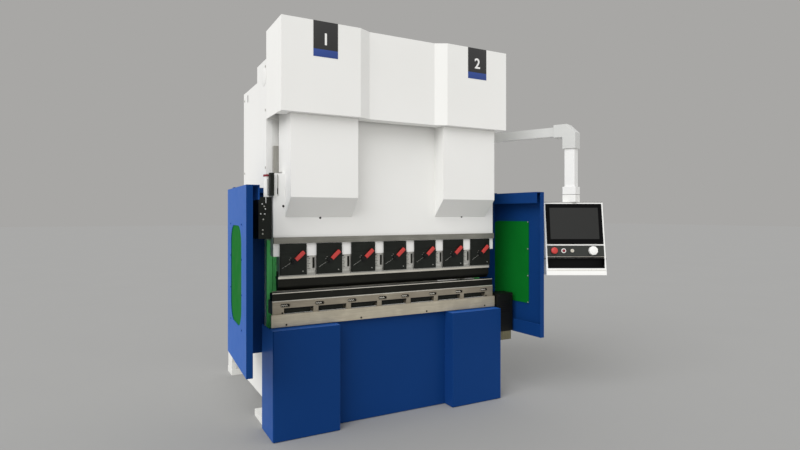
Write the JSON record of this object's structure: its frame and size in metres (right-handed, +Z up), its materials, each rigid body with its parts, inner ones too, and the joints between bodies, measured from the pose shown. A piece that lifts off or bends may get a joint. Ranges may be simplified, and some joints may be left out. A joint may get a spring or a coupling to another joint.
{
  "type": "electric servo press brake",
  "caption": "Small electric press brake: side frames, table with die, sliding ram with clamped punch, top hood, blue covers and side guards, and a control panel on a swinging arm.",
  "frame": {"origin": "middle of the four anchor holes, on the floor", "axes": "+X to the operator's right, +Y towards the back, +Z up"},
  "size_m": [2.3534, 1.9313, 2.28],
  "materials": {
    "white_paint": "satin powder coat",
    "blue_paint": "satin powder coat",
    "green_paint": "satin paint",
    "frame_paint": "satin paint",
    "ground_steel": "surface ground",
    "black_steel": "black oxide",
    "adapter_steel": "milled, satin",
    "red_plastic": "moulded",
    "green_acrylic": "tinted sheet",
    "black_plastic": "moulded",
    "white_plastic": "moulded",
    "panel_glass": "gloss front sheet",
    "control_plastic": "moulded",
    "machined_steel": "machined",
    "arm_paint": "light grey paint"
  },
  "bodies": {
    "machine_frame": {"side_frame_right": "frame_paint", "side_frame_left": "frame_paint", "side_cover_right": "white_paint", "side_cover_left": "white_paint", "feet": "frame_paint", "lower_beam": "frame_paint", "head_beam": "frame_paint", "rear_ties": "frame_paint", "back_gauge": "machined_steel", "front_cover_right": "blue_paint", "front_cover_left": "blue_paint", "front_cover_center": "blue_paint", "table_front_plate": "ground_steel", "die_rail": "ground_steel", "crowning_wedges": "black_steel", "lower_die": "black_steel", "screw_drives": "machined_steel", "guide_rails": "machined_steel", "hood": "white_paint", "safety_strips": "green_paint", "guard_panel_left": "blue_paint", "guard_panel_right": "blue_paint", "guard_windows": "green_acrylic", "guard_wall_left": "blue_paint", "guard_wall_right": "blue_paint", "valve_block": "black_plastic", "oil_cup": "white_plastic", "drive_box": "black_plastic", "arm_bracket": "arm_paint"},
    "ram": {"ram_plate": "white_paint", "ram_strip": "ground_steel", "screw_housings": "white_paint", "scale_bars": "black_plastic", "screw_nuts": "machined_steel", "guide_blocks": "machined_steel", "punch_adapters": "adapter_steel", "punch_clamps": "black_steel", "punch": "black_steel"},
    "pendant_arm_body": {"pendant_arm": "arm_paint", "pendant_tube": "arm_paint"},
    "control_panel": {"panel_box": "white_plastic", "panel_glass": "panel_glass", "panel_controls": "control_plastic"},
    "lever_1": {"clamp_lever_1": "red_plastic"},
    "lever_2": {"clamp_lever_2": "red_plastic"},
    "lever_3": {"clamp_lever_3": "red_plastic"},
    "lever_4": {"clamp_lever_4": "red_plastic"},
    "lever_5": {"clamp_lever_5": "red_plastic"},
    "lever_6": {"clamp_lever_6": "red_plastic"},
    "lever_7": {"clamp_lever_7": "red_plastic"}
  },
  "joints": [
    {"name": "ram_slide", "type": "slide", "parent": "machine_frame", "child": "ram", "axis": [0, 0, 1], "range_m": [0, 0.15]},
    {"name": "lever_turn_1", "type": "hinge", "parent": "ram", "child": "lever_1", "pos_m": [-0.639, -0.879, 0.966], "axis": [0, -1, 0], "range_deg": [0, 90]},
    {"name": "lever_turn_2", "type": "hinge", "parent": "ram", "child": "lever_2", "pos_m": [-0.426, -0.879, 0.966], "axis": [0, -1, 0], "range_deg": [0, 90]},
    {"name": "lever_turn_3", "type": "hinge", "parent": "ram", "child": "lever_3", "pos_m": [-0.213, -0.879, 0.966], "axis": [0, -1, 0], "range_deg": [0, 90]},
    {"name": "lever_turn_4", "type": "hinge", "parent": "ram", "child": "lever_4", "pos_m": [0, -0.879, 0.966], "axis": [0, -1, 0], "range_deg": [0, 90]},
    {"name": "lever_turn_5", "type": "hinge", "parent": "ram", "child": "lever_5", "pos_m": [0.213, -0.879, 0.966], "axis": [0, -1, 0], "range_deg": [0, 90]},
    {"name": "lever_turn_6", "type": "hinge", "parent": "ram", "child": "lever_6", "pos_m": [0.426, -0.879, 0.966], "axis": [0, -1, 0], "range_deg": [0, 90]},
    {"name": "lever_turn_7", "type": "hinge", "parent": "ram", "child": "lever_7", "pos_m": [0.639, -0.879, 0.966], "axis": [0, -1, 0], "range_deg": [0, 90]},
    {"name": "arm_swing", "type": "hinge", "parent": "machine_frame", "child": "pendant_arm_body", "pos_m": [0.828, -0.305, 1.7905], "axis": [0, 0, 1], "range_deg": [0, 80]},
    {"name": "panel_swivel", "type": "hinge", "parent": "pendant_arm_body", "child": "control_panel", "pos_m": [1.2034, -1.12495, 1.363], "axis": [0, 0, 1], "range_deg": [-60, 90]}
  ]
}
